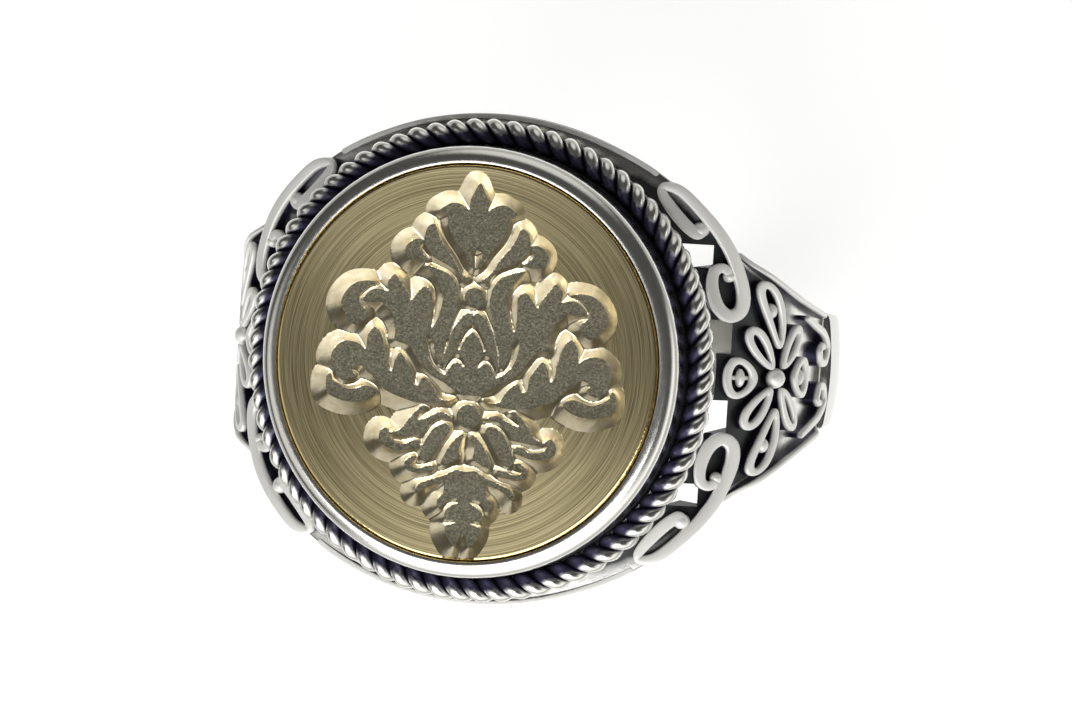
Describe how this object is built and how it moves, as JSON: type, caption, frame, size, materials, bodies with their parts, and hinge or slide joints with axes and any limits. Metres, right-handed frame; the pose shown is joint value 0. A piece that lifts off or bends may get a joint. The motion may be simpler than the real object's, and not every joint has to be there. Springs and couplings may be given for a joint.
{
  "type": "signet ring",
  "caption": "Signet ring: engraved round brass seal in a silver head with a twisted rope border, on a tapering silver shank with filigree shoulders.",
  "frame": {"origin": "under the middle of the shank, at the ring's lowest point when it stands on its shank with the seal facing up", "axes": "+Z is the seal face's outward normal, X runs from shoulder to shoulder, Y runs along the finger hole"},
  "size_m": [0.0232, 0.0188, 0.0233],
  "materials": {
    "brass": "face brushed in fine concentric circles, bright cut walls in the engraving, dark matt ground in its floor",
    "silver": "polished sterling silver with darker, oxidised sides and hollows",
    "oxidised_silver": "silver shank, polished inside and on the plain band, blackened in the recessed shoulders"
  },
  "bodies": {
    "root": {"base_plate": "silver", "bezel_cup": "silver", "cheek_rail_back": "silver", "cheek_rail_front": "silver", "left_band_petal_back": "silver", "left_band_petal_front": "silver", "left_band_scroll_back": "silver", "left_band_scroll_front": "silver", "left_flower_ball": "silver", "left_head_petal_back": "silver", "left_head_petal_front": "silver", "left_head_ring_petal": "silver", "left_head_scroll_back": "silver", "left_head_scroll_front": "silver", "left_head_stamen": "silver", "left_long_petal_back": "silver", "left_long_petal_front": "silver", "left_long_stamen_back": "silver", "left_long_stamen_front": "silver", "left_rail_back": "silver", "left_rail_front": "silver", "left_shank_ring_petal": "silver", "left_shank_stamen": "silver", "right_band_petal_back": "silver", "right_band_petal_front": "silver", "right_band_scroll_back": "silver", "right_band_scroll_front": "silver", "right_flower_ball": "silver", "right_head_petal_back": "silver", "right_head_petal_front": "silver", "right_head_ring_petal": "silver", "right_head_scroll_back": "silver", "right_head_scroll_front": "silver", "right_head_stamen": "silver", "right_long_petal_back": "silver", "right_long_petal_front": "silver", "right_long_stamen_back": "silver", "right_long_stamen_front": "silver", "right_rail_back": "silver", "right_rail_front": "silver", "right_shank_ring_petal": "silver", "right_shank_stamen": "silver", "rope_strand_a": "silver", "rope_strand_b": "silver", "seal_disc": "brass", "shank": "oxidised_silver"}
  },
  "joints": []
}
